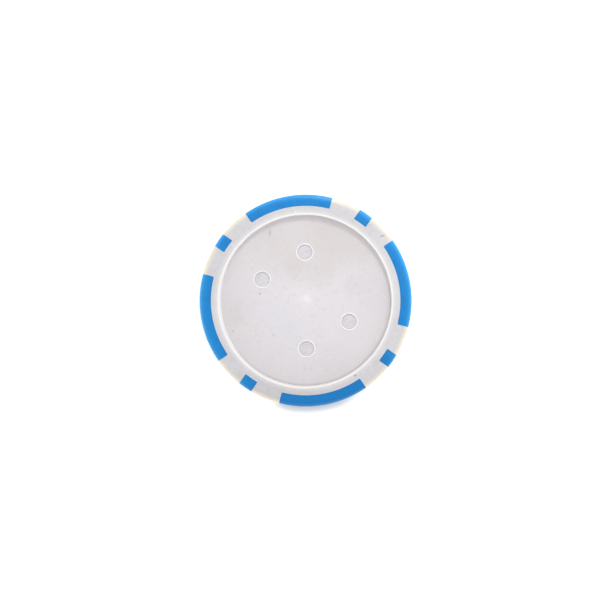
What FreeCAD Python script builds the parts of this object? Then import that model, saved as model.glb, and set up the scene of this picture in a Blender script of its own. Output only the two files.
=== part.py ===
import FreeCAD, Part
import math
import os

import Sketcher
from FreeCAD import Vector

# A dealer button: a round two-colour moulded disc that lies flat on the table.
# Two off-white half shells are welded face to face round a steel weight, and eight
# blue blocks, four long and four short, are keyed between them flush with the rim.
# Frame: origin at the centre of the back face, +Z along the disc's axis to the
# front face, a long blue block at the middle of each of +X, +Y, -X and -Y.

SIZES = (
    # alias, millimetres or degrees, meaning
    ("button_diameter", 50.0, "over the rim"),
    ("button_thickness", 4.0, "from ring face to ring face"),
    ("rim_round", 1.3, "radius of the outer edges"),
    ("rim_width", 4.85, "from the outside to the recess wall"),
    ("recess_depth", 0.8, "label recess below the ring face, each side"),
    ("recess_lip_round", 0.2, "radius of the edge between ring face and recess"),
    ("seam_bevel", 0.08, "chamfer of each half along the weld line"),
    ("floor_thickness", 0.45, "plastic between a recess and the weight"),
    ("spot_reach", 2.7, "how far a blue block reaches in from the outside"),
    ("spot_corner_round", 0.3, "radius of a block's inner corners"),
    ("long_spot_angle", 49.4, "degrees that a long block spans"),
    ("short_spot_width", 3.4, "across the parallel sides of a short block"),
    ("spot_fit", 0.01, "gap between a block and its pocket"),
    ("key_reach", 1.1, "how far a block's key reaches in behind the block"),
    ("key_thickness", 1.2, "of the key, centred on the weld line"),
    ("key_root", 0.5, "how far the key runs into its block"),
    ("long_key_width", 14.0, "across the sides of a long block's key"),
    ("short_key_width", 2.2, "across the sides of a short block's key"),
    ("weld_rib_wall", 1.4, "between the keys and the weld rib"),
    ("weld_rib_width", 0.8, "of the ring-shaped rib that locates the halves"),
    ("weld_rib_height", 0.4, "how far the rib stands into its groove"),
    ("weld_rib_fit", 0.05, "gap round the rib in its groove"),
    ("slug_wall", 1.4, "between the weld rib and the weight's pocket"),
    ("slug_fit", 0.05, "gap round the weight in its pocket"),
    ("post_diameter", 3.0, "posts that carry the weight"),
    ("post_fit", 0.1, "gap between a post and the weight's hole"),
    ("pin_pattern_length", 19.4, "between posts, the long way"),
    ("pin_pattern_width", 11.9, "between posts, the short way"),
    ("pin_pattern_turn", 22.5, "degrees from the long way of the posts to +Y"),
    ("pin_mark_diameter", 3.6, "shallow round mark over each post"),
    ("pin_mark_depth", 0.08, "of the mark below the recess floor"),
    ("pin_lip_width", 0.3, "raised ring round a mark"),
    ("pin_lip_height", 0.05, "of the raised ring"),
    ("gate_mark_diameter", 1.6, "raised vestige of the gate"),
    ("gate_mark_height", 0.08, "of the vestige above the recess floor"),
)

RIM = "sizes.button_diameter / 2"
HALF = "sizes.button_thickness / 2"
RECESS = "(sizes.button_diameter / 2 - sizes.rim_width)"
FLOOR = "(sizes.button_thickness / 2 - sizes.recess_depth)"
SPOT_INNER = "(sizes.button_diameter / 2 - sizes.spot_reach)"
KEY_INNER = "(sizes.button_diameter / 2 - sizes.spot_reach - sizes.key_reach)"
KEY_OUTER = "(sizes.button_diameter / 2 - sizes.spot_reach + sizes.key_root)"
RIB_OUTER = f"({KEY_INNER} - sizes.weld_rib_wall)"
RIB_INNER = f"({RIB_OUTER} - sizes.weld_rib_width)"
SLUG_RADIUS = f"({RIB_INNER} - sizes.slug_wall - sizes.slug_fit)"
SLUG_HALF = f"({FLOOR} - sizes.floor_thickness - sizes.slug_fit)"
BEYOND_RIM = "(sizes.button_diameter / 2 + sizes.spot_reach)"

LONG_SPOT_STEP = 90
SPOT_COUNT = 4
NEAR = 1e-4

os.makedirs("parts", exist_ok=True)
doc = FreeCAD.newDocument("dealer_button")

sheet = doc.addObject("Spreadsheet::Sheet", "sizes")
for row, (alias, number, meaning) in enumerate(SIZES, 1):
    sheet.set(f"A{row}", alias)
    sheet.set(f"B{row}", str(number))
    sheet.set(f"C{row}", meaning)
    sheet.setAlias(f"B{row}", alias)
doc.recompute()


def value(expression):
    """The number that an expression on the sheet gives."""
    return float(sheet.evalExpression(expression))


# ---- sketches ---------------------------------------------------------------

def origin_feature(body, role):
    return next(part for part in body.Origin.OriginFeatures if part.Role == role)


def new_sketch(body, name, height="0", turn="0"):
    """A sketch parallel to the body's XY plane, raised and turned about the axis."""
    sketch = body.newObject("Sketcher::SketchObject", name)
    sketch.AttachmentSupport = (origin_feature(body, "XY_Plane"), [""])
    sketch.MapMode = "FlatFace"
    sketch.setExpression(".AttachmentOffset.Base.z", height)
    sketch.setExpression(".AttachmentOffset.Rotation.Angle", turn)
    return sketch


def dimension(sketch, kind, geometry, name, expression):
    """A named dimension of the sketch that follows an expression on the sheet."""
    number = value(expression)
    if kind == "Angle":
        number = math.radians(number)
    index = sketch.addConstraint(Sketcher.Constraint(kind, *geometry, number))
    sketch.renameConstraint(index, name)
    sketch.setExpression(f"Constraints.{name}", expression)


def axis_circles(sketch, *radii):
    """Circles about the axis, one for each expression."""
    for number, radius in enumerate(radii):
        circle = sketch.addGeometry(Part.Circle(Vector(), Vector(0, 0, 1), value(radius)))
        sketch.addConstraint(Sketcher.Constraint("Coincident", circle, 3, -1, 1))
        dimension(sketch, "Radius", (circle,), f"radius_{number}", radius)


def pin_circles(sketch, *radii):
    """Circles about each corner of the posts' rectangle, one for each expression."""
    across, along = "sizes.pin_pattern_width / 2", "sizes.pin_pattern_length / 2"
    corner = 0
    for side in (1, -1):
        for end in (1, -1):
            centre = Vector(side * value(across), end * value(along), 0)
            for number, radius in enumerate(radii):
                circle = sketch.addGeometry(Part.Circle(centre, Vector(0, 0, 1), value(radius)))
                dimension(sketch, "Radius", (circle,), f"radius_{corner}_{number}", radius)
                for kind, sign, place in (("DistanceX", side, across), ("DistanceY", end, along)):
                    points = ((-1, 1), (circle, 3))[::sign]
                    dimension(sketch, kind, points[0] + points[1],
                              f"{kind}_{corner}_{number}", place)
            corner += 1


def block_outline(sketch, inner, outer, width=None, angle=None):
    """Two arcs about the axis, joined by sides that are width or degrees apart."""
    near, far = value(inner), value(outer)
    if angle:
        near_end = far_end = math.radians(value(angle) / 2)
    else:
        near_end = math.asin(value(width) / 2 / near)
        far_end = math.asin(value(width) / 2 / far)

    def arc(radius, end):
        return Part.ArcOfCircle(Part.Circle(Vector(), Vector(0, 0, 1), radius), -end, end)

    def corner(radius, end):
        return Vector(radius * math.cos(end), radius * math.sin(end), 0)

    sketch.addGeometry([
        arc(near, near_end),
        Part.LineSegment(corner(near, near_end), corner(far, far_end)),
        arc(far, far_end),
        Part.LineSegment(corner(far, -far_end), corner(near, -near_end)),
    ])
    for geometry in ((0, 3, -1, 1), (2, 3, -1, 1), (0, 2, 1, 1), (1, 2, 2, 2),
                     (2, 1, 3, 1), (3, 2, 0, 1)):
        sketch.addConstraint(Sketcher.Constraint("Coincident", *geometry))
    for inner_or_outer in (0, 2):
        sketch.addConstraint(Sketcher.Constraint("Vertical", inner_or_outer, 1,
                                                 inner_or_outer, 2))
    dimension(sketch, "Radius", (0,), "inner_radius", inner)
    dimension(sketch, "Radius", (2,), "outer_radius", outer)
    if angle:
        sketch.addConstraint(Sketcher.Constraint("PointOnObject", -1, 1, 1))
        dimension(sketch, "Angle", (1,), "half_angle", f"({angle}) / 2")
    else:
        sketch.addConstraint(Sketcher.Constraint("Horizontal", 1))
        dimension(sketch, "DistanceY", (0, 1, 0, 2), "width", width)


# ---- features ---------------------------------------------------------------

def new_body(label, turn=None):
    """A body whose own origin lies on the axis, on the weld plane."""
    body = doc.addObject("PartDesign::Body", label)
    body.Label = label
    if turn:
        body.Placement.Rotation = turn
    body.setExpression(".Placement.Base.z", HALF)
    return body


def pad(body, sketch, length, reverse=False, midplane=False):
    feature = body.newObject("PartDesign::Pad", sketch.Name + "_pad")
    feature.Profile = sketch
    feature.setExpression("Length", length)
    feature.Reversed = reverse
    feature.Midplane = midplane
    doc.recompute()
    return feature


def pocket(body, sketch, length=None, reverse=False):
    """Cuts the sketch to a length, or right through, and makes sure that it cut."""
    before = body.Shape.Volume
    feature = body.newObject("PartDesign::Pocket", sketch.Name + "_pocket")
    feature.Profile = sketch
    feature.Reversed = reverse
    if length:
        feature.setExpression("Length", length)
    else:
        feature.Type = "ThroughAll"
    doc.recompute()
    if feature.Shape.Volume >= before:
        raise RuntimeError(f"{feature.Name} cuts nothing")
    return feature


def repeat_round(body, feature):
    """Repeats a feature at each of the four equal steps about the axis."""
    pattern = body.newObject("PartDesign::PolarPattern", feature.Name + "_pattern")
    pattern.Originals = [feature]
    pattern.Axis = (origin_feature(body, "Z_Axis"), [""])
    pattern.Angle = 360
    pattern.Occurrences = SPOT_COUNT
    body.Tip = pattern
    doc.recompute()
    return pattern


def dress(body, kind, name, size, edge_test):
    """A Fillet or Chamfer of the given size on every edge that passes the test."""
    base = body.Tip
    names = [f"Edge{n}" for n, edge in enumerate(base.Shape.Edges, 1) if edge_test(edge)]
    if not names:
        raise RuntimeError(f"{name} finds no edge")
    feature = body.newObject(f"PartDesign::{kind}", name)
    feature.Base = (base, names)
    feature.setExpression("Radius" if kind == "Fillet" else "Size", size)
    doc.recompute()
    return feature


def rounds_axis(radius, *heights):
    """A test for arcs and circles about the axis, of one radius, at some heights."""
    size = value(radius)
    levels = [value(height) for height in heights]

    def test(edge):
        curve = edge.Curve
        return (isinstance(curve, Part.Circle) and abs(curve.Radius - size) < NEAR
                and math.hypot(curve.Center.x, curve.Center.y) < NEAR
                and any(abs(curve.Center.z - level) < NEAR for level in levels))
    return test


def upright_at(radius, length):
    """A test for straight edges along the axis, at one distance from it."""
    size, height = value(radius), value(length)

    def test(edge):
        first, last = edge.Vertexes[0].Point, edge.Vertexes[-1].Point
        return (isinstance(edge.Curve, Part.Line) and abs(edge.Length - height) < NEAR
                and math.hypot(first.x - last.x, first.y - last.y) < NEAR
                and abs(math.hypot(first.x, first.y) - size) < NEAR)
    return test


# ---- pieces -----------------------------------------------------------------

def make_shell(label, turn, pin_turn, rib):
    """Half of the body, its mating face on its own XY plane and its face up.

    The pocket for the weight, the posts and the pockets for the blue blocks take
    their sizes from the pieces that they hold, plus the fits.
    """
    body = new_body(label, turn)

    disc = new_sketch(body, f"{label}_disc")
    axis_circles(disc, RIM)
    pad(body, disc, HALF)

    recess = new_sketch(body, f"{label}_recess", HALF)
    axis_circles(recess, RECESS)
    pocket(body, recess, "sizes.recess_depth")
    dress(body, "Fillet", f"{label}_rim_round", "sizes.rim_round", rounds_axis(RIM, HALF))
    dress(body, "Fillet", f"{label}_lip_round", "sizes.recess_lip_round",
          rounds_axis(RECESS, HALF))
    dress(body, "Chamfer", f"{label}_seam_bevel", "sizes.seam_bevel", rounds_axis(RIM, "0"))

    seat = new_sketch(body, f"{label}_slug_seat")
    axis_circles(seat, f"{SLUG_RADIUS} + sizes.slug_fit")
    pocket(body, seat, f"{SLUG_HALF} + sizes.slug_fit", reverse=True)
    posts = new_sketch(body, f"{label}_posts", turn=pin_turn)
    pin_circles(posts, "sizes.post_diameter / 2")
    pad(body, posts, f"{SLUG_HALF} + sizes.slug_fit")

    marks = new_sketch(body, f"{label}_pin_marks", FLOOR, pin_turn)
    pin_circles(marks, "sizes.pin_mark_diameter / 2")
    pocket(body, marks, "sizes.pin_mark_depth")
    lips = new_sketch(body, f"{label}_pin_lips", FLOOR, pin_turn)
    pin_circles(lips, "sizes.pin_mark_diameter / 2",
                "sizes.pin_mark_diameter / 2 + sizes.pin_lip_width")
    pad(body, lips, "sizes.pin_lip_height")
    gate = new_sketch(body, f"{label}_gate_mark", FLOOR)
    axis_circles(gate, "sizes.gate_mark_diameter / 2")
    pad(body, gate, "sizes.gate_mark_height")

    if rib:
        ring = new_sketch(body, f"{label}_weld_rib")
        axis_circles(ring, RIB_OUTER, RIB_INNER)
        pad(body, ring, "sizes.weld_rib_height", reverse=True)
    else:
        ring = new_sketch(body, f"{label}_weld_groove")
        axis_circles(ring, f"{RIB_OUTER} + sizes.weld_rib_fit",
                     f"{RIB_INNER} - sizes.weld_rib_fit")
        pocket(body, ring, "sizes.weld_rib_height + sizes.weld_rib_fit", reverse=True)

    fit_angle = f"2 * sizes.spot_fit / {SPOT_INNER} * 180 / pi"
    pocket_inner = f"{SPOT_INNER} - sizes.spot_fit"
    outlines = (
        ("long", "0", dict(angle=f"sizes.long_spot_angle + {fit_angle}")),
        ("short", "45", dict(width="sizes.short_spot_width + 2 * sizes.spot_fit")),
    )
    for name, turned, sides in outlines:
        block = new_sketch(body, f"{label}_{name}_pocket", turn=turned)
        block_outline(block, pocket_inner, BEYOND_RIM, **sides)
        repeat_round(body, pocket(body, block, reverse=True))
        key = new_sketch(body, f"{label}_{name}_key_slot", turn=turned)
        block_outline(key, f"{KEY_INNER} - sizes.spot_fit", KEY_OUTER,
                      width=f"sizes.{name}_key_width + 2 * sizes.spot_fit")
        slot = pocket(body, key, "sizes.key_thickness / 2 + sizes.spot_fit", reverse=True)
        repeat_round(body, slot)
    dress(body, "Fillet", f"{label}_pocket_corners", "sizes.spot_corner_round + sizes.spot_fit",
          upright_at(pocket_inner, HALF))
    return body


def make_spot(label, degrees, key_width, **sides):
    """A blue block with a narrower key behind it, turned to its place on the rim."""
    body = new_body(label, FreeCAD.Rotation(Vector(0, 0, 1), degrees))
    block = new_sketch(body, f"{label}_block")
    block_outline(block, SPOT_INNER, RIM, **sides)
    pad(body, block, "sizes.button_thickness", midplane=True)
    dress(body, "Fillet", f"{label}_corners", "sizes.spot_corner_round",
          upright_at(SPOT_INNER, "sizes.button_thickness"))
    dress(body, "Fillet", f"{label}_rim_round", "sizes.rim_round",
          rounds_axis(RIM, HALF, f"-({HALF})"))
    key = new_sketch(body, f"{label}_key")
    block_outline(key, KEY_INNER, KEY_OUTER, width=key_width)
    pad(body, key, "sizes.key_thickness", midplane=True)
    return body


def make_slug():
    """The steel weight: a disc with a hole for each post."""
    body = new_body("weight_slug")
    disc = new_sketch(body, "slug_disc")
    axis_circles(disc, SLUG_RADIUS)
    pad(body, disc, f"2 * {SLUG_HALF}", midplane=True)
    holes = new_sketch(body, "slug_holes", SLUG_HALF, "sizes.pin_pattern_turn")
    pin_circles(holes, "sizes.post_diameter / 2 + sizes.post_fit")
    pocket(body, holes)
    return body


pieces = [
    make_shell("front_shell", None, "sizes.pin_pattern_turn", rib=True),
    make_shell("back_shell", FreeCAD.Rotation(Vector(1, 0, 0), 180),
               "-sizes.pin_pattern_turn", rib=False),
    make_slug(),
]
for place in range(SPOT_COUNT):
    pieces.append(make_spot(f"long_spot_{place + 1}", place * LONG_SPOT_STEP,
                            "sizes.long_key_width", angle="sizes.long_spot_angle"))
    pieces.append(make_spot(f"short_spot_{place + 1}", (place + 0.5) * LONG_SPOT_STEP,
                            "sizes.short_key_width", width="sizes.short_spot_width"))

# ---- checks and export ------------------------------------------------------

doc.recompute()
for item in doc.Objects:
    if "Invalid" in item.State or "Error" in item.State:
        raise RuntimeError(f"{item.Name} failed: {item.State}")
for piece in pieces:
    if piece.Shape.isNull() or not piece.Shape.isValid() or len(piece.Shape.Solids) != 1:
        raise RuntimeError(f"{piece.Label} is not one valid solid")
for piece in pieces:
    piece.Shape.exportStep(f"parts/{piece.Label}.step")
    print(f"{piece.Label}: {piece.Shape.Volume:.1f} mm3")
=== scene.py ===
import math

import bmesh
import bpy
import numpy as np
from mathutils import Matrix, Vector


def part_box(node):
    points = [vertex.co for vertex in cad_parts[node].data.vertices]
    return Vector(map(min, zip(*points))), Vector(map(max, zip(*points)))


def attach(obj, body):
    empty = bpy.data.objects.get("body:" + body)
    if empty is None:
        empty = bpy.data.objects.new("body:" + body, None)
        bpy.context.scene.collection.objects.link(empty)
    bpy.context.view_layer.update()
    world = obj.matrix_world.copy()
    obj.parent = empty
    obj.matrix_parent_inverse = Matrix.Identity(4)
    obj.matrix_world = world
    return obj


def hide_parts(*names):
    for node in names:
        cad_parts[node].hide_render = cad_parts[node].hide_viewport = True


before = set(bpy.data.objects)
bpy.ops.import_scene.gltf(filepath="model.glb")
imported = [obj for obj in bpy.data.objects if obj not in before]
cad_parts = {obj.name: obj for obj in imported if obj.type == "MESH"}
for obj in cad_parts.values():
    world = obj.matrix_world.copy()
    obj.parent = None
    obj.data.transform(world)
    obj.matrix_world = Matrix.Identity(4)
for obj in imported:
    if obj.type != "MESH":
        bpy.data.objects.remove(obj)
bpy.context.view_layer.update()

# A dealer button: two white half shells welded round a steel weight, and eight blue
# blocks in their rim. The shells and blocks are modelled again as closed skins, and
# the weight keeps its mesh from the frame.

MM = 0.001
QUARTER = math.pi / 2
EIGHTH = math.pi / 4

# ---- the button's own sizes, in millimetres ----------------------------------
# The rim radius, the thickness and the weight's box are read from the frame, and
# the rest repeats the moulding's own dimensions. Heights of a half shell count from
# the weld plane.

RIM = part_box("long_spot_1")[1].x / MM
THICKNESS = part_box("long_spot_1")[1].z / MM
HALF = THICKNESS / 2
RIM_ROUND = 1.3
FACE_EDGE = RIM - RIM_ROUND
RIM_WIDTH = 4.85
RECESS = RIM - RIM_WIDTH
RECESS_DEPTH = 0.8
RECESS_FLOOR = HALF - RECESS_DEPTH
LIP_ROUND = 0.2
FOOT_ROUND = 0.12
SEAM_BEVEL = 0.08

SPOT_REACH = 2.7
SPOT_INNER = RIM - SPOT_REACH
SPOT_CORNER = 0.3
SPOT_FIT = 0.01
LONG_SPOT_ANGLE = math.radians(49.4)
SHORT_SPOT_WIDTH = 3.4

RIB_OUTER, RIB_INNER = 19.8, 19.0
RIB_HEIGHT = 0.4
RIB_FIT = 0.05
SLUG_LOW, SLUG_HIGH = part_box("weight_slug")
SLUG_FIT = 0.05
SLUG_SEAT = SLUG_HIGH.x / MM + SLUG_FIT
SEAT_CEILING = (SLUG_HIGH.z - SLUG_LOW.z) / MM / 2 + SLUG_FIT

# Four pins stand on a rectangle, turned about the axis. Each shows as a mark in the
# recess floor with a raised lip, and its wall goes straight down by MARK_WALL and
# then curves in by MARK_FOOT. A post behind each mark holds the weight.
PIN_LENGTH, PIN_WIDTH = 19.4, 11.9
PIN_TURN = math.radians(22.5)
PIN_DISTANCE = math.hypot(PIN_LENGTH, PIN_WIDTH) / 2
MARK_RADIUS = 1.8
MARK_DEPTH = 0.08
MARK_WALL = 0.4 * MARK_DEPTH
MARK_FOOT = 0.2
MARK_LIP = 0.3
MARK_LIP_HEIGHT = 0.05
POST_RADIUS = 1.5
GATE_RADIUS = 0.8
GATE_HEIGHT = 0.08

# ---- fineness of the grids ---------------------------------------------------
# Columns across a block, round its corners and between two blocks, and the width of
# ring over which the rows ease out to a block's rounded corners. Round each pin a
# polar grid fills a window that reaches PIN_WINDOW to each side. Points closer than
# SEW are sewn together, and creases steeper than SHARP_EDGE stay sharp.

LONG_COLUMNS = 46
SHORT_COLUMNS = 8
SHORT_SPOT_COLUMNS = 10
FAN_COLUMNS = 18
CORNER_COLUMNS = 6
EASE = 0.8
PIN_WINDOW = 3.0
WINDOW_ROWS = 12
WINDOW_RINGS = 3
SEW = 2e-5
SHARP_EDGE = math.radians(38)


# ---- curves and grids --------------------------------------------------------

def line(start, end, steps):
    """Points from start to end, the end left out: start + (end - start) * k / steps."""
    share = np.arange(steps)[:, None] / steps
    return np.asarray(start) * (1 - share) + np.asarray(end) * share


def arc(centre, radius, first, last, steps):
    """Points on a circle at even angles from first to last degrees, the last left out."""
    turn = np.radians(first + (last - first) * np.arange(steps) / steps)
    return np.stack([centre[0] + radius * np.cos(turn), centre[1] + radius * np.sin(turn)], 1)


def lathe(profile, angles):
    """A profile of (distance, height) turned about the axis; both may vary by column."""
    distance, height = profile[..., 0], profile[..., 1]
    return np.stack([distance * np.cos(angles), distance * np.sin(angles),
                     height + 0 * angles], -1)


def cell_quads(rows, columns, keep=None):
    """Four corner indices of each cell of a grid of points, for the cells to keep."""
    corner = np.arange((rows - 1) * columns).reshape(rows - 1, columns)[:, :columns - 1]
    quads = np.stack([corner, corner + 1, corner + columns + 1, corner + columns], -1)
    return quads[keep] if keep is not None else quads.reshape(-1, 4)


def sewn_piece(node, grids, material):
    """One closed skin in a node's place, from grids of points in millimetres.

    Each grid comes with a mask of the cells to keep, or None for all of them, and
    the grids are sewn together where they meet.
    """
    points, quads, count = [], [], 0
    for grid, keep in grids:
        rows, columns = grid.shape[:2]
        points.append(grid.reshape(-1, 3))
        quads.append(cell_quads(rows, columns, keep) + count)
        count += rows * columns
    points, quads = np.concatenate(points) * MM, np.concatenate(quads)
    used, packed = np.unique(quads, return_inverse=True)
    mesh = bpy.data.meshes.new(f"{node}_form")
    mesh.from_pydata(points[used], [], packed.reshape(-1, 4))
    skin = bmesh.new()
    skin.from_mesh(mesh)
    bmesh.ops.remove_doubles(skin, verts=skin.verts, dist=SEW * MM)
    bmesh.ops.dissolve_degenerate(skin, edges=skin.edges, dist=SEW * MM)
    bmesh.ops.recalc_face_normals(skin, faces=skin.faces)
    skin.to_mesh(mesh)
    skin.free()
    mesh.shade_smooth()
    mesh.set_sharp_from_angle(angle=SHARP_EDGE)
    mesh.materials.append(material)
    piece = bpy.data.objects.new(mesh.name, mesh)
    bpy.context.scene.collection.objects.link(piece)
    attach(piece, "root")
    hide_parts(node)


# ---- profiles: (distance from the axis, height above the weld plane) -----------

def rim_path():
    """From the ring face at the blocks' inner edge, over the rim, to the weld plane."""
    return np.concatenate([
        line((SPOT_INNER, HALF), (FACE_EDGE, HALF), 4),
        arc((FACE_EDGE, HALF - RIM_ROUND), RIM_ROUND, 90, 0, 14),
        line((RIM, HALF - RIM_ROUND), (RIM, SEAM_BEVEL), 3),
        line((RIM, SEAM_BEVEL), (RIM - SEAM_BEVEL, 0), 1),
        line((RIM - SEAM_BEVEL, 0), (SPOT_INNER, 0), 3),
    ])


def travel_along(path):
    """The distance travelled along a path at each of its points."""
    return np.concatenate([[0], np.cumsum(np.hypot(*np.diff(path, axis=0).T))])


def stretched(distance, junction):
    """Distances, of which those short of the face's edge begin at the junction.

    junction + (distance - inner edge) * (face edge - junction) / (face edge - inner edge)
    """
    stretch = (FACE_EDGE - junction) / (FACE_EDGE - SPOT_INNER)
    moved = junction + (distance - SPOT_INNER) * stretch
    return np.where(distance < FACE_EDGE, moved, distance)


def face_profile():
    """From the axis over gate mark, recess floor, wall and lip to the ring face.

    The gate mark is a quarter wave, the foot of the wall and the lip are arcs.
    """
    gate = np.linspace(0, 1, 7)[:, None]
    gate = np.hstack([GATE_RADIUS * gate, RECESS_FLOOR + GATE_HEIGHT * np.cos(gate * QUARTER)])
    window = PIN_DISTANCE - PIN_WINDOW, PIN_DISTANCE + PIN_WINDOW
    foot = RECESS - FOOT_ROUND
    lip = RECESS + LIP_ROUND
    return np.concatenate([
        gate[:-1],
        line((GATE_RADIUS, RECESS_FLOOR), (window[0], RECESS_FLOOR), 6),
        line((window[0], RECESS_FLOOR), (window[1], RECESS_FLOOR), WINDOW_ROWS),
        line((window[1], RECESS_FLOOR), (foot, RECESS_FLOOR), 5),
        arc((foot, RECESS_FLOOR + FOOT_ROUND), FOOT_ROUND, -90, 0, 4),
        line((RECESS, RECESS_FLOOR + FOOT_ROUND), (RECESS, HALF - LIP_ROUND), 1),
        arc((lip, HALF - LIP_ROUND), LIP_ROUND, 180, 90, 12),
        line((lip, HALF), (SPOT_INNER, HALF), 2),
    ])


def seat_profile(rib_outer, rib_inner, rib_height):
    """From the weld plane over the weld rib and the weight's seat back to the axis."""
    window = PIN_DISTANCE + PIN_WINDOW, PIN_DISTANCE - PIN_WINDOW
    return np.concatenate([
        line((SPOT_INNER, 0), (rib_outer, 0), 3),
        line((rib_outer, 0), (rib_outer, rib_height), 1),
        line((rib_outer, rib_height), (rib_inner, rib_height), 1),
        line((rib_inner, rib_height), (rib_inner, 0), 1),
        line((rib_inner, 0), (SLUG_SEAT, 0), 2),
        line((SLUG_SEAT, 0), (SLUG_SEAT, SEAT_CEILING), 1),
        line((SLUG_SEAT, SEAT_CEILING), (window[0], SEAT_CEILING), 3),
        line((window[0], SEAT_CEILING), (window[1], SEAT_CEILING), WINDOW_ROWS),
        line((window[1], SEAT_CEILING), (0, SEAT_CEILING), 6),
        [(0, SEAT_CEILING)],
    ])


def mark_profile():
    """A pin mark, from outside its raised lip down to its flat bottom and its centre.

    The lip is half an ellipse and the foot of the mark's wall a quarter of one.
    """
    lip = MARK_RADIUS + MARK_LIP / 2
    crest = arc((0, 0), 1, 0, 180, 8) * (MARK_LIP / 2, MARK_LIP_HEIGHT)
    foot = arc((0, 0), 1, 0, -90, 5) * (MARK_FOOT, MARK_DEPTH - MARK_WALL)
    return np.concatenate([
        crest + (lip, 0),
        line((MARK_RADIUS, 0), (MARK_RADIUS, -MARK_WALL), 1),
        foot + (MARK_RADIUS - MARK_FOOT, -MARK_WALL),
        line((MARK_RADIUS - MARK_FOOT, -MARK_DEPTH), (0, -MARK_DEPTH), 3),
        [(0, -MARK_DEPTH)],
    ]) + (0, RECESS_FLOOR)


def post_profile():
    """A post, from the seat's ceiling down to the weld plane and its centre."""
    return np.concatenate([
        line((POST_RADIUS, SEAT_CEILING), (POST_RADIUS, 0), 1),
        line((POST_RADIUS, 0), (0, 0), 2),
        [(0, 0)],
    ])


# ---- columns round the rim ------------------------------------------------------

def block_columns(half_angle, inner, steps):
    """Angles across a block and its inner edge there, its corners rounded.

    At a distance a from the side the inner edge lies further out by
    c - sqrt(c^2 - (c - a)^2), where c is the radius of the corner.
    """
    corner = SPOT_CORNER * (1 - np.cos(np.linspace(0, QUARTER, CORNER_COLUMNS))) / inner
    middle = np.linspace(-half_angle + corner[-1], half_angle - corner[-1], steps)
    angles = np.concatenate([-half_angle + corner, middle[1:-1], (half_angle - corner)[::-1]])
    inset = np.maximum(SPOT_CORNER - (half_angle - np.abs(angles)) * inner, 0)
    return angles, inner + SPOT_CORNER - np.sqrt(SPOT_CORNER ** 2 - inset ** 2)


def shell_columns():
    """One quarter of the rim's columns: angle, lean, junction, and 1 on the rim.

    The quarter runs from the end of one long block to the end of the next. Between
    a long block and a short one the columns fan from the long block's radial side
    to the short block's parallel side, and the lean says how much of the parallel
    side's turn a column takes.
    """
    inner = SPOT_INNER - SPOT_FIT
    short_half = math.asin((SHORT_SPOT_WIDTH / 2 + SPOT_FIT) / inner)
    long_half = LONG_SPOT_ANGLE / 2 + SPOT_FIT / inner
    share = np.linspace(0, 1, FAN_COLUMNS)
    fan = (1 - share) * long_half + share * (EIGHTH - short_half)
    from_block = np.minimum(share, 1 - share) * (fan[-1] - fan[0]) * inner
    ring = inner + SPOT_CORNER * np.clip(1 - from_block, 0, 1)
    short, short_inner = block_columns(short_half, inner, SHORT_COLUMNS)
    long, long_inner = block_columns(long_half, inner, LONG_COLUMNS)
    return [np.concatenate(part) for part in (
        (fan, EIGHTH + short, QUARTER - fan[::-1], QUARTER + long),
        (share, 0 * short, -share[::-1], 0 * long),
        (ring, short_inner, ring, long_inner),
        (0 * fan + 1, 0 * short, 0 * fan + 1, 0 * long),
    )]


def round_the_rim(quarter):
    """The four quarters one after the other, with the first column again at the end."""
    angle, lean, junction, rim = quarter
    angle = (angle[None] + QUARTER * np.arange(4)[:, None]).ravel()
    whole = [angle] + [np.tile(part, 4) for part in (lean, junction, rim)]
    return [np.append(part, part[0]) for part in whole]


# ---- pieces ---------------------------------------------------------------------

def pin_centres():
    """The corners of the pins' rectangle, turned about the axis: angle and place."""
    for side, end in ((1, 1), (-1, 1), (-1, -1), (1, -1)):
        angle = math.atan2(end * PIN_LENGTH, side * PIN_WIDTH) + PIN_TURN
        yield angle % math.tau, PIN_DISTANCE * np.array([math.cos(angle), math.sin(angle)])


def window_filling(grid, rows, columns, centre, profile):
    """A small polar grid that fills a window of a flat one and ends in a lathe profile.

    Its outermost ring is the window's own edge. The rings inside shrink evenly
    towards a circle about the centre, and from there the profile takes over.
    """
    top, bottom = rows
    left, right = columns
    edge = np.concatenate([
        grid[top, left:right], grid[top:bottom, right],
        grid[bottom, right:left:-1], grid[bottom:top:-1, left], grid[top, left:left + 1],
    ])
    away = edge[:, :2] - centre
    away = away / np.hypot(away[:, 0], away[:, 1])[:, None]
    circle = np.column_stack([centre + away * profile[0, 0], edge[:, 2]])
    share = (np.arange(WINDOW_RINGS) / WINDOW_RINGS)[:, None, None]
    fan = edge * (1 - share) + circle * share
    turned = centre + away * profile[:, None, :1]
    heights = np.broadcast_to(profile[:, None, 1:], turned.shape[:2] + (1,))
    return np.concatenate([fan, np.concatenate([turned, heights], -1)])


def shell_profile(junction, is_rim, rib):
    """Each column's rows, from the face's centre round to the seat's centre.

    Within a pocket the rim's rows lie on the pocket's inner wall, which runs straight
    from the ring face to the weld plane: each at the share of the way that its row
    has travelled round the rim.
    """
    path = rim_path()
    travel = travel_along(np.concatenate([path, [(SPOT_INNER, 0)]]))[:, None]
    on_wall = HALF * (1 - travel[:-1] / travel[-1])
    rim = np.stack([
        np.where(is_rim > 0, stretched(path[:, :1], junction), junction),
        np.where(is_rim > 0, path[:, 1:], on_wall),
    ], -1)
    face = face_profile()[:, None] + 0 * junction[:, None]
    seat = seat_profile(*rib)[:, None] + 0 * junction[:, None]
    for rows in (face, seat):
        past = rows[..., 0] - (SPOT_INNER - EASE)
        rows[..., 0] += np.where(past > 0, past / EASE * (junction - SPOT_INNER), 0)
    return np.concatenate([face, rim, seat])


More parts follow.
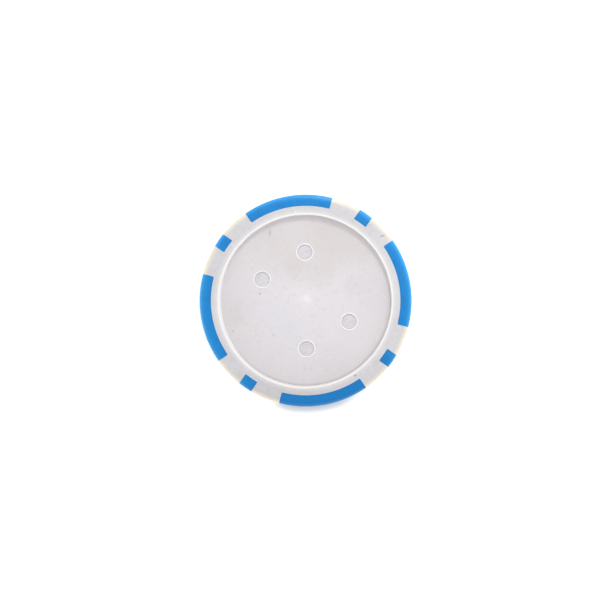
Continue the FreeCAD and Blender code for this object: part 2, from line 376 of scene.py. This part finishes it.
def make_shell(node, material, upward, rib):
    """Half of the body: face, rim with pockets for the blue blocks, and inside.

    One profile is turned about the axis column by column. Beside a short block the
    columns lean to follow its parallel side, whose half width w lies asin(w / r)
    from the block's middle at a distance r. The rib is its outer radius, its inner
    radius and its height, which is below the weld plane for the rib itself and above
    it for the groove that takes it.
    """
    angle, lean, junction, is_rim = round_the_rim(shell_columns())
    profile = shell_profile(junction, is_rim, rib)
    half_width = SHORT_SPOT_WIDTH / 2 + SPOT_FIT
    inner = SPOT_INNER - SPOT_FIT
    reach = np.maximum(profile[..., 0], inner)
    turn = np.arcsin(half_width / inner) - np.arcsin(half_width / reach)
    grid = lathe(profile, angle + lean * turn)

    keep = np.ones((len(grid) - 1, grid.shape[1] - 1), bool)
    grids = [(grid, keep)]
    from_pin = np.abs(profile[:, 0, 0] - PIN_DISTANCE)
    for level, filling in ((RECESS_FLOOR, mark_profile()), (SEAT_CEILING, post_profile())):
        from_level = np.abs(profile[:, 0, 1] - level)
        rows = np.flatnonzero((from_pin < PIN_WINDOW + SEW) & (from_level < SEW))[[0, -1]]
        for pin_angle, centre in pin_centres():
            beside = np.abs(angle - pin_angle) < PIN_WINDOW / PIN_DISTANCE
            columns = np.flatnonzero(beside)[[0, -1]]
            keep[rows[0]:rows[1], columns[0]:columns[1]] = False
            grids.append((window_filling(grid, rows, columns, centre, filling), None))
    side = (1, 1, 1) if upward else (1, 1, -1)
    grids = [(points * side + (0, 0, HALF), mask) for points, mask in grids]
    sewn_piece(node, grids, material)


def make_spot(node, material, centre, half_angle, parallel):
    """A blue block: the rim's section carried from one side of the block to the other.

    The section runs over the outside and back along the block's inner edge. On the
    first and last columns all of it lies on that inner edge, so that the strips
    beside them are the block's flat sides. A parallel side with half width w lies
    asin(w / r) from the block's middle at a distance r.
    """
    upper = rim_path()
    upper = upper[upper[:, 1] > SEAM_BEVEL]
    section = np.concatenate([upper, [(RIM, 0)], upper[::-1] * (1, -1), [(SPOT_INNER, -HALF)]])
    travel = travel_along(section)[:, None]
    inner_height = HALF * (1 - 2 * travel / travel[-1])

    steps = SHORT_SPOT_COLUMNS if parallel else LONG_COLUMNS
    angles, junction = block_columns(half_angle, SPOT_INNER, steps)
    angles, junction = np.pad(angles, 1, "edge"), np.pad(junction, 1, "edge")
    outside = np.stack(np.broadcast_arrays(stretched(section[:, :1], junction),
                                           section[:, 1:]), -1)
    inside = np.stack(np.broadcast_arrays(junction, inner_height), -1)
    outside[:, [0, -1]] = inside[:, [0, -1]]
    profile = np.concatenate([outside, inside[::-1]])

    turned = angles + 0 * profile[..., 0]
    if parallel:
        reach = np.maximum(profile[..., 0], SPOT_INNER)
        turned = angles / half_angle * np.arcsin(SHORT_SPOT_WIDTH / 2 / reach)
    grid = lathe(profile, turned + centre) + (0, 0, HALF)
    sewn_piece(node, [(grid, None)], material)


# ---- shader nodes ---------------------------------------------------------------

class Wire:
    """An output socket that takes part in arithmetic: each operator adds a Math node."""

    def __init__(self, maker, socket):
        self.maker = maker
        self.socket = socket

    def output(self, name):
        """Another output of the same node."""
        return Wire(self.maker, self.socket.node.outputs[name])

    def maths(self, operation, *values):
        """One Math node, with this socket first and the values after it."""
        inputs = dict(enumerate((self,) + values))
        return self.maker.node("Math", dict(operation=operation), inputs)

    def __add__(self, other):
        return self.maths("ADD", other)

    def __sub__(self, other):
        return self.maths("SUBTRACT", other)

    def __mul__(self, other):
        return self.maths("MULTIPLY", other)

    def __rsub__(self, other):
        return self.maker.node("Math", dict(operation="SUBTRACT"), {0: other, 1: self})

    __radd__ = __add__
    __rmul__ = __mul__

    def rises(self, low, high):
        """0 below low and 1 above high, smooth between; falls where low is above high."""
        return self.maker.node("MapRange", dict(interpolation_type="SMOOTHSTEP"),
                               {"Value": self, "From Min": low, "From Max": high})


class Maker:
    """Adds nodes to one tree."""

    def __init__(self, tree):
        self.tree = tree
        tree.nodes.clear()

    def node(self, kind, settings=None, inputs=None, output=0):
        """A node of a type, its settings first and then its inputs; gives one output."""
        node = self.tree.nodes.new("ShaderNode" + kind)
        for key, value in (settings or {}).items():
            setattr(node, key, value)
        for key, value in (inputs or {}).items():
            if isinstance(value, Wire):
                self.tree.links.new(value.socket, node.inputs[key])
            else:
                node.inputs[key].default_value = value
        return Wire(self, node.outputs[output]) if node.outputs else None

    def colour_mix(self, factor, first, second):
        """first where the factor is 0 and second where it is 1."""
        return self.node("Mix", dict(data_type="RGBA"),
                         {0: factor, 6: first, 7: second}, output=2)

    def noise(self, place, scale, detail=2.0, roughness=0.5):
        """Noise of about scale waves in each millimetre of place, from 0 to 1."""
        return self.node("TexNoise", None, {"Vector": place, "Scale": scale, "Detail": detail,
                                            "Roughness": roughness})

    def relief(self, strength, height):
        """Normals bent by a fine relief, RELIEF_DEPTH deep, that follows a height."""
        return self.node("Bump", None, {
            "Strength": strength, "Distance": RELIEF_DEPTH, "Height": height})


def rgb(red, green, blue):
    """An opaque colour."""
    return (red, green, blue, 1.0)


def surface(name):
    """A new material, its maker, and the place on the object in millimetres."""
    material = bpy.data.materials.new(name)
    material.use_nodes = True
    maker = Maker(material.node_tree)
    place = maker.node("TexCoord", output="Object")
    place = maker.node("VectorMath", dict(operation="SCALE"), {"Vector": place, "Scale": 1 / MM})
    return material, maker, place


def coordinates(maker, place):
    """The three coordinates of a place."""
    x = maker.node("SeparateXYZ", None, {"Vector": place})
    return x, x.output("Y"), x.output("Z")


def split(maker, place):
    """The distance from the axis, and the height above or below the weld plane."""
    x, y, z = coordinates(maker, place)
    return (x * x + y * y).maths("SQRT"), (z - HALF).maths("ABSOLUTE")


def distance_from_pin(maker, place):
    """The distance from the nearest pin mark's axis.

    In the frame of the pins' rectangle the absolute values of x and y fold its four
    corners onto one.
    """
    turned = maker.node("Mapping", dict(vector_type="TEXTURE"), {
        "Vector": place, "Rotation": (0, 0, PIN_TURN)})
    x, y, _ = coordinates(maker, turned)
    x = x.maths("ABSOLUTE") - PIN_WIDTH / 2
    y = y.maths("ABSOLUTE") - PIN_LENGTH / 2
    return (x * x + y * y).maths("SQRT")


# ---- materials ------------------------------------------------------------------

RING_WHITE = rgb(0.696, 0.681, 0.710)
RECESS_WHITE = rgb(0.820, 0.785, 0.817)
EDGE_WHITE = rgb(1.000, 0.985, 0.960)
RIM_CREAM = rgb(1.000, 0.920, 0.790)
RIM_IVORY = rgb(0.785, 0.718, 0.585)
MARK_GREY = rgb(0.765, 0.738, 0.785)
PIN_WHITE = rgb(0.965, 0.960, 0.975)
BLOOM_WHITE = rgb(0.920, 0.860, 0.880)
WARM_STAIN = rgb(0.715, 0.665, 0.655)
COOL_STAIN = rgb(0.780, 0.768, 0.828)
WALL_GREY = rgb(0.722, 0.684, 0.696)
CORNER_GREY = rgb(0.520, 0.490, 0.500)
CREASE_GREY = rgb(0.340, 0.320, 0.330)
GATE_WHITE = rgb(1.000, 0.920, 0.917)
SEAM_GREY = rgb(0.590, 0.560, 0.535)
SKY_BLUE = rgb(0.008, 0.253, 0.666)
DEEP_BLUE = rgb(0.004, 0.202, 0.552)
SHADED_BLUE = rgb(0.003, 0.170, 0.490)
RIM_BLUE = rgb(0.034, 0.405, 0.940)
STEEL_BRIGHT = rgb(0.56, 0.57, 0.58)
STEEL_DULL = rgb(0.42, 0.43, 0.45)
PURE_WHITE = rgb(1.0, 1.0, 1.0)

ABS_ROUGHNESS = 0.34
ABS_GLOSS = 0.35
RELIEF_DEPTH = 0.02 * MM

# The width of the painted highlight along the recess's lip, and the heights between which the
# painted light on the rounded edge comes in.
PALE_LIP = 0.56
SHOULDER = 0.55, 1.25

# Traces of use, and patches of painted light and shade: centre, turn in degrees, half length,
# half width, colour and strength. The patches are wide and soft, so they show faintly on the
# back as well, and keep to the recess floor, the ring or the blue blocks. On the recess floor
# they are stains. On the ring they are painted highlights on the +X and -X sides and painted
# shade towards -Y and on the -X, +Y side. On the blue the patch is painted shade on one block.
# The marks are small and lie on the front: four dark specks, a scratch, a teal streak and a
# white speck.
RECESS_LEVEL = HALF + RECESS_FLOOR
RING_LEVEL = THICKNESS
RECESS_STAINS = (
    ((2.1, 11.6, RECESS_LEVEL), -10, 16.0, 8.0, WARM_STAIN, 0.45),
    ((8.8, 13.2, RECESS_LEVEL), 110, 7.0, 4.5, WARM_STAIN, 0.40),
    ((-1.5, 8.7, RECESS_LEVEL), 70, 3.8, 2.6, WARM_STAIN, 0.30),
    ((5.0, 5.0, RECESS_LEVEL), 60, 4.0, 3.0, WARM_STAIN, 0.30),
    ((-16.7, 0.0, RECESS_LEVEL), 100, 4.5, 2.8, WARM_STAIN, 0.30),
    ((15.0, 10.5, RECESS_LEVEL), 120, 6.0, 4.0, WARM_STAIN, 0.35),
    ((8.0, 15.5, RECESS_LEVEL), 160, 5.0, 3.0, WARM_STAIN, 0.30),
    ((-6.1, -4.3, RECESS_LEVEL), 130, 8.0, 5.0, COOL_STAIN, 0.35),
    ((6.1, -5.4, RECESS_LEVEL), 40, 7.0, 5.0, BLOOM_WHITE, 0.22),
    ((11.5, -9.5, RECESS_LEVEL), 50, 9.0, 5.0, BLOOM_WHITE, 0.16),
)
RING_LIGHT_AND_SHADE = (
    ((-8.0, -20.5, RING_LEVEL), -20, 14.0, 6.0, CORNER_GREY, 0.30),
    ((22.0, 1.0, RING_LEVEL), 95, 14.0, 5.0, EDGE_WHITE, 0.14),
    ((-22.0, 2.0, RING_LEVEL), 95, 6.0, 5.0, EDGE_WHITE, 0.06),
    ((18.1, -14.2, RING_LEVEL), 50, 6.0, 4.0, EDGE_WHITE, 0.07),
    ((-10.4, 20.5, RING_LEVEL), 30, 6.0, 3.5, CORNER_GREY, 0.09),
)
# Painted shade over the short block on the -X, +Y side.
BLUE_SHADE = (
    ((-13.5, 19.2, RING_LEVEL), 36, 8.0, 4.5, SHADED_BLUE, 0.32),
)
MARKS = (
    ((-10.3, 3.5, RECESS_LEVEL), 70, 0.34, 0.24, rgb(0.30, 0.27, 0.28), 0.55),
    ((-18.1, -4.1, RECESS_LEVEL), 60, 0.30, 0.24, rgb(0.35, 0.32, 0.33), 0.6),
    ((-8.9, -6.6, RECESS_LEVEL), 60, 0.30, 0.24, rgb(0.35, 0.30, 0.30), 0.5),
    ((8.4, -19.4, RING_LEVEL), 10, 0.36, 0.24, rgb(0.20, 0.18, 0.20), 0.8),
    ((20.5, 11.8, RING_LEVEL), 5, 0.85, 0.25, rgb(0.35, 0.34, 0.36), 0.75),
    ((-5.5, 17.2, RECESS_LEVEL), 70, 1.10, 0.42, rgb(0.43, 0.52, 0.54), 0.60),
    ((1.3, 20.8, RING_LEVEL), 80, 0.28, 0.24, EDGE_WHITE, 1.0),
)


def spot_mask(maker, place, centre, turn, half_length, half_width):
    """1 in the middle of a long turned spot, fading to 0 just outside it."""
    inside = maker.node("Mapping", dict(vector_type="TEXTURE"), {
        "Vector": place, "Location": centre, "Rotation": (0, 0, math.radians(turn)),
        "Scale": (half_length, half_width, half_width),
    })
    away = maker.node("VectorMath", dict(operation="LENGTH"), {0: inside}, output="Value")
    return away.rises(1.2, 0.3)


def with_stains_and_shade(maker, place, colour, spots, fleck):
    """A colour with patches laid over it in turn, all made uneven by the same noise: stains and
    marks, and patches of painted light and shade.
    """
    for centre, turn, half_length, half_width, tint, strength in spots:
        mask = spot_mask(maker, place, centre, turn, half_length, half_width)
        colour = maker.colour_mix(mask * (strength * fleck), colour, tint)
    return colour


def finish_plastic(maker, place, colour, grain, relief_scale):
    """Moulded ABS: a dielectric whose roughness and fine relief follow a grain."""
    relief = maker.noise(place, relief_scale, 4.0) + grain * 0.5
    shader = maker.node("BsdfPrincipled", None, {
        "Base Color": colour, "Roughness": ABS_ROUGHNESS + grain * 0.10,
        "Specular IOR Level": ABS_GLOSS, "Normal": maker.relief(0.35, relief),
    })
    maker.node("OutputMaterial", None, {"Surface": shader})


def with_pin_marks(maker, place, colour):
    """A colour with the pin marks' bottoms: streaked grey, with painted shade at their foot."""
    from_pin = distance_from_pin(maker, place)
    streaks = maker.node("Mapping", None, {
        "Vector": place, "Rotation": (0, 0, 0.5), "Scale": (0.6, 2.2, 1.0)})
    streaks = maker.noise(streaks, 1.2, 4.0, 0.6).rises(0.42, 0.68)
    bottom = maker.colour_mix(streaks * 0.35, MARK_GREY, CORNER_GREY)
    in_mark = from_pin.rises(MARK_RADIUS + 0.02, MARK_RADIUS - 0.03)
    colour = maker.colour_mix(in_mark, colour, bottom)
    # Painted shade: a dark ring round the foot of each mark's wall.
    foot = (from_pin.rises(MARK_RADIUS - 0.42, MARK_RADIUS - 0.2)
            * from_pin.rises(MARK_RADIUS + 0.04, MARK_RADIUS - 0.02))
    return maker.colour_mix(foot * 0.38, colour, CORNER_GREY)


def recess_colour(maker, place, mottle, shaded_side):
    """Pale white with cool and warm mottling, stains, painted shade in the corner and pin marks.

    It is paler about the gate, and greyer towards the wall as painted shade. What stands above
    the floor, such as the pin marks' lips, is the palest, as a painted highlight.
    """
    reach, height = split(maker, place)
    across, along, _ = coordinates(maker, place)
    blotches = maker.noise(place, 0.16, 4.0, 0.6)
    colour = maker.colour_mix(blotches.rises(0.45, 0.75) * 0.4, RECESS_WHITE, WARM_STAIN)
    colour = maker.colour_mix(mottle.rises(0.50, 0.30) * 0.75, colour, COOL_STAIN)
    colour = maker.colour_mix(mottle.rises(0.52, 0.72) * 0.65, colour, WARM_STAIN)
    colour = maker.colour_mix(reach.rises(9.0, 0.5) * 0.25, colour, BLOOM_WHITE)
    # Painted shade: greyer towards the wall.
    colour = maker.colour_mix(reach.rises(8.0, 20.0) * 0.50, colour, WALL_GREY)
    colour = with_stains_and_shade(maker, place, colour, RECESS_STAINS, 0.6 + mottle)

    # Painted shade: a grey band along the foot of the wall and a darker crease in it, both
    # strongest on the side towards -Y.
    corner = reach.rises(RECESS - 1.0, RECESS - 0.1) * (0.12 + shaded_side * 0.55)
    colour = maker.colour_mix(corner, colour, CORNER_GREY)
    crease = reach.rises(RECESS - 0.32, RECESS - 0.12) * (across * 0.3 - along).rises(-2.0, 14.0)
    colour = maker.colour_mix(crease * 0.65, colour, CREASE_GREY)
    colour = maker.colour_mix(reach.rises(2.4, -0.2) * 0.6, colour, GATE_WHITE)
    colour = with_pin_marks(maker, place, colour)
    # Painted highlight: what stands above the floor, such as the pin marks' lips, is the palest.
    raised = height.rises(RECESS_FLOOR + 0.005, RECESS_FLOOR + 0.04) * reach.rises(3.0, 4.0)
    return maker.colour_mix(raised, colour, PIN_WHITE)


def ring_colour(maker, place, mottle, shaded_side):
    """Greyer white, with a painted highlight along the lip above painted shade on the wall, and
    painted light on the rounded edge.

    Towards -X the lip's painted highlight and the painted shade under it lie a little further
    out. The painted light on the rounded edge is ivory towards +Y and creamy on the other side.
    """
    reach, height = split(maker, place)
    across, along, _ = coordinates(maker, place)
    colour = maker.colour_mix(mottle.rises(0.50, 0.30) * 0.12, RING_WHITE, EDGE_WHITE)
    colour = maker.colour_mix(mottle.rises(0.50, 0.70) * 0.20, colour, CORNER_GREY)
    # Patches of painted highlight and painted shade on the ring.
    colour = with_stains_and_shade(maker, place, colour, RING_LIGHT_AND_SHADE, 0.6 + mottle)

    # Painted highlight: a pale band along the lip, a little further out towards -X.
    lip_edge = RECESS + PALE_LIP
    from_lip = reach - (across * -0.94 - along * 0.34).rises(4.0, 18.0) * 0.12
    lip = (from_lip.rises(lip_edge + 1.0, lip_edge) * 0.3
           + from_lip.rises(lip_edge, lip_edge - 0.1) * 0.65)
    colour = maker.colour_mix(lip, colour, EDGE_WHITE)
    # Painted shade on the recess wall under the lip, darkest on the side towards -Y.
    wall = ((from_lip - shaded_side * 0.05).rises(RECESS + 0.11, RECESS + 0.05)
            * height.rises(HALF + 0.01, HALF - 0.04))
    colour = maker.colour_mix(wall * (0.32 + shaded_side * 0.43), colour, CREASE_GREY)

    # Painted light on the rounded edge: ivory over its outer part, and on its shoulder ivory
    # towards +Y and cream on the other side.
    colour = maker.colour_mix(reach.rises(FACE_EDGE, RIM - 0.3) * 0.6, colour, RIM_IVORY)
    colour = maker.colour_mix(height.rises(0.25, 0.0) * 0.35, colour, SEAM_GREY)
    shoulder = reach.rises(FACE_EDGE, RIM - 0.2) * height.rises(*SHOULDER)
    rim_light_colour = maker.colour_mix((along + across * 0.4).rises(-6.0, 13.0), RIM_CREAM, RIM_IVORY)
    return maker.colour_mix(shoulder, colour, rim_light_colour)


def white_plastic():
    """Off-white ABS, paler in the recess, with a fine speckle and the small marks.

    The masks are bands of distance from the axis and of height above the weld plane.
    Painted shade lies in the recess corner and on its wall, most on the side towards -Y.
    """
    material, maker, place = surface("white_abs")
    reach, _ = split(maker, place)
    across, along, _ = coordinates(maker, place)
    mottle = maker.noise(place, 0.9, 3.0, 0.6)
    grain = maker.noise(place, 1.7, 3.0)
    speckle = maker.noise(place, 3.5, 2.0, 0.6)
    # Painted shade: strongest on the side towards -Y, fading towards +Y.
    shaded_side = (across * 0.15 - along).rises(-8.0, 20.0)

    ring = ring_colour(maker, place, mottle, shaded_side)
    recess = recess_colour(maker, place, mottle, shaded_side)
    colour = maker.colour_mix(reach.rises(RECESS + 0.03, RECESS - 0.03), ring, recess)
    colour = maker.colour_mix(speckle.rises(0.45, 0.75) * 0.12, colour, CORNER_GREY)
    colour = with_stains_and_shade(maker, place, colour, MARKS, 0.4 + grain)
    finish_plastic(maker, place, colour, grain, 2.4)
    return material


def blue_plastic():
    """Bright sky blue, deeper at its inner edge and paler outwards as painted light, with
    painted shade on the block towards -Y and a fine grain.
    """
    material, maker, place = surface("blue_abs")
    reach, height = split(maker, place)
    cloud = maker.noise(place, 0.5, 3.0).rises(0.35, 0.75)
    speckle = maker.noise(place, 3.0, 3.0, 0.6).rises(0.40, 0.70)
    _, along, _ = coordinates(maker, place)
    # Painted shade: the block towards -Y is deeper.
    deep = (cloud * 0.55 + speckle * 0.5 + reach.rises(SPOT_INNER + 0.6, SPOT_INNER) * 0.5
            + along.rises(-13.5, -21.5) * 0.95)
    colour = maker.colour_mix(deep, SKY_BLUE, DEEP_BLUE)
    # A patch of painted shade on the -X, +Y side.
    colour = with_stains_and_shade(maker, place, colour, BLUE_SHADE, 0.7 + cloud * 0.6)
    # Painted light on the rounded edge, weaker on the blocks towards -Y and +Y.
    pale = reach.rises(RIM - 2.0, RIM - 0.7) * 0.25 + reach.rises(RIM - 1.0, RIM) * 0.75
    rim_light_share = 1 - along.rises(-15.0, -20.0) * 0.75 - along.rises(15.0, 20.0) * 0.6
    colour = maker.colour_mix(pale * rim_light_share * height.rises(*SHOULDER), colour, RIM_BLUE)
    grain = maker.noise(place, 1.9, 3.0)
    finish_plastic(maker, place, colour, grain, 2.6)
    return material


def plated_steel():
    """Punched and zinc-plated steel: a faint rolled grain and dull patches."""
    material, maker, place = surface("plated_steel")
    rolled = maker.node("Mapping", None, {"Vector": place, "Scale": (0.15, 4.0, 1.0)})
    grain = maker.noise(rolled, 1.2, 4.0)
    patch = maker.noise(place, 0.25, 3.0)
    colour = maker.colour_mix(patch.rises(0.3, 0.7), STEEL_BRIGHT, STEEL_DULL)
    shader = maker.node("BsdfPrincipled", None, {
        "Base Color": colour, "Metallic": 1.0, "Roughness": 0.30 + patch * 0.2,
        "Normal": maker.relief(0.3, grain),
    })
    maker.node("OutputMaterial", None, {"Surface": shader})
    return material


# ---- studio ---------------------------------------------------------------------
# The camera's right and up are level, and turned by CAMERA_TURN from +X and +Y. Its
# view is VIEW_WIDTH wide at VIEW_LEVEL above the floor, CAMERA_DISTANCE below it. The
# camera stands OFF_CENTRE to its right and up from the button's axis.

CAMERA_TURN = math.radians(10.1)
RIGHT = Vector((math.cos(CAMERA_TURN), -math.sin(CAMERA_TURN), 0))
UP = Vector((math.sin(CAMERA_TURN), math.cos(CAMERA_TURN), 0))
ABOVE = Vector((0, 0, 1))
CAMERA_DISTANCE = 0.8
VIEW_WIDTH = 141.4 * MM
VIEW_LEVEL = 0.7 * THICKNESS * MM
OFF_CENTRE = (-1.33 * MM, 0.13 * MM)

FLOOR_SIZE = 2.0
FLOOR_WHITE = rgb(0.90, 0.90, 0.90)
FLOOR_GLOW = 0.6
CONTACT_TILT = math.radians(20)
CONTACT_REACH = 2.4 * MM
CONTACT_MIDDLE = 1.8
CONTACT_SHADE = rgb(0.37, 0.32, 0.27)
OVERHEAD_GLOW = 0.20
LOW_GLOW = 1.37


def place_camera():
    """A long lens straight above the button, turned so that +X points right and up."""
    camera = bpy.data.cameras.new("camera")
    camera.lens = camera.sensor_width * CAMERA_DISTANCE / VIEW_WIDTH
    camera.clip_end = 10
    holder = bpy.data.objects.new("camera", camera)
    turn = Matrix((RIGHT, UP, ABOVE)).transposed().to_4x4()
    spot = (RIGHT * OFF_CENTRE[0] + UP * OFF_CENTRE[1]
            + ABOVE * (CAMERA_DISTANCE + VIEW_LEVEL))
    holder.matrix_world = Matrix.Translation(spot) @ turn
    bpy.context.scene.collection.objects.link(holder)
    bpy.context.scene.camera = holder


def softbox(name, azimuth, elevation, distance, size, watts):
    """A square lamp that faces the button; azimuth 0 is the camera's right, 90 its up."""
    azimuth, elevation = math.radians(azimuth), math.radians(elevation)
    level = RIGHT * math.cos(azimuth) + UP * math.sin(azimuth)
    towards = level * math.cos(elevation) + ABOVE * math.sin(elevation)
    lamp = bpy.data.lights.new(name, "AREA")
    lamp.size = size
    lamp.energy = watts
    holder = bpy.data.objects.new(name, lamp)
    holder.matrix_world = (Matrix.Translation(towards * distance)
                           @ towards.to_track_quat("Z", "Y").to_matrix().to_4x4())
    bpy.context.scene.collection.objects.link(holder)


def seen_rays(maker):
    """1 for what is seen straight, in a gloss or through glass, and 0 for light."""
    straight = maker.node("LightPath", output="Is Camera Ray")
    glossy, through = straight.output("Is Glossy Ray"), straight.output("Is Transmission Ray")
    return straight.maths("MAXIMUM", glossy).maths("MAXIMUM", through)


def floor_glow(maker, place):
    """White where it is seen, with a short shade on the camera's lower side.

    The shade is the part of a leaning half-space of directions that the button
    closes to each point, and it fades out to the left and right of its middle. A
    Normal socket takes its direction from a node only.
    """
    leaning = (UP * math.cos(CONTACT_TILT) + ABOVE * math.sin(CONTACT_TILT)).normalized()
    leaning = maker.node("VectorMath", None, {0: leaning})
    open_side = maker.node("AmbientOcclusion", dict(samples=16), {
        "Distance": CONTACT_REACH, "Normal": leaning}, output="AO")
    across = maker.node("VectorMath", dict(operation="DOT_PRODUCT"),
                        {0: place, 1: RIGHT}, output="Value")
    near_middle = (across - CONTACT_MIDDLE).maths("ABSOLUTE").rises(14.0, 5.0)
    shade = ((1 - open_side) * near_middle).rises(0.0, 0.65)
    colour = maker.colour_mix(shade, PURE_WHITE, CONTACT_SHADE)
    glow = maker.node("Emission", None, {"Color": colour, "Strength": FLOOR_GLOW})
    return maker.node("MixShader", None, {0: seen_rays(maker), 2: glow})


def lay_floor():
    """A pale matt floor that takes the button's shadow and glows where it is seen."""
    mesh = bpy.data.meshes.new("floor")
    corner = FLOOR_SIZE / 2
    mesh.from_pydata([(-corner, -corner, 0), (corner, -corner, 0),
                      (corner, corner, 0), (-corner, corner, 0)], [], [(0, 1, 2, 3)])
    floor = bpy.data.objects.new("floor", mesh)
    bpy.context.scene.collection.objects.link(floor)
    material, maker, place = surface("floor")
    lit = maker.node("BsdfDiffuse", None, {"Color": FLOOR_WHITE})
    both = maker.node("AddShader", None, {0: lit, 1: floor_glow(maker, place)})
    maker.node("OutputMaterial", None, {"Surface": both})
    mesh.materials.append(material)


def light_the_sky():
    """White where it is seen; as a light, dim overhead and bright lower down."""
    world = bpy.data.worlds.new("studio")
    world.use_nodes = True
    bpy.context.scene.world = world
    maker = Maker(world.node_tree)
    direction = maker.node("TexCoord", output="Generated")
    _, _, height = coordinates(maker, direction)
    glow = OVERHEAD_GLOW + height.rises(0.85, 0.40) * (LOW_GLOW - OVERHEAD_GLOW)
    seen = seen_rays(maker)
    sky = maker.node("Background", None, {"Color": PURE_WHITE,
                                          "Strength": seen + (1 - seen) * glow})
    maker.node("OutputWorld", None, {"Surface": sky})


# ---- the button -------------------------------------------------------------------

white = white_plastic()
blue = blue_plastic()
make_shell("front_shell", white, True, (RIB_OUTER, RIB_INNER, -RIB_HEIGHT))
make_shell("back_shell", white, False,
           (RIB_OUTER + RIB_FIT, RIB_INNER - RIB_FIT, RIB_HEIGHT + RIB_FIT))
for number in range(4):
    middle = number * QUARTER
    make_spot(f"long_spot_{number + 1}", blue, middle, LONG_SPOT_ANGLE / 2, False)
    make_spot(f"short_spot_{number + 1}", blue, middle + EIGHTH,
              math.asin(SHORT_SPOT_WIDTH / 2 / SPOT_INNER), True)
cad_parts["weight_slug"].material_slots[0].material = plated_steel()

bpy.context.scene.view_settings.view_transform = "Standard"
place_camera()
lay_floor()
light_the_sky()
softbox("key", azimuth=78, elevation=26, distance=0.30, size=0.062, watts=0.318)
softbox("fill", azimuth=68, elevation=64, distance=0.30, size=0.18, watts=0.166)
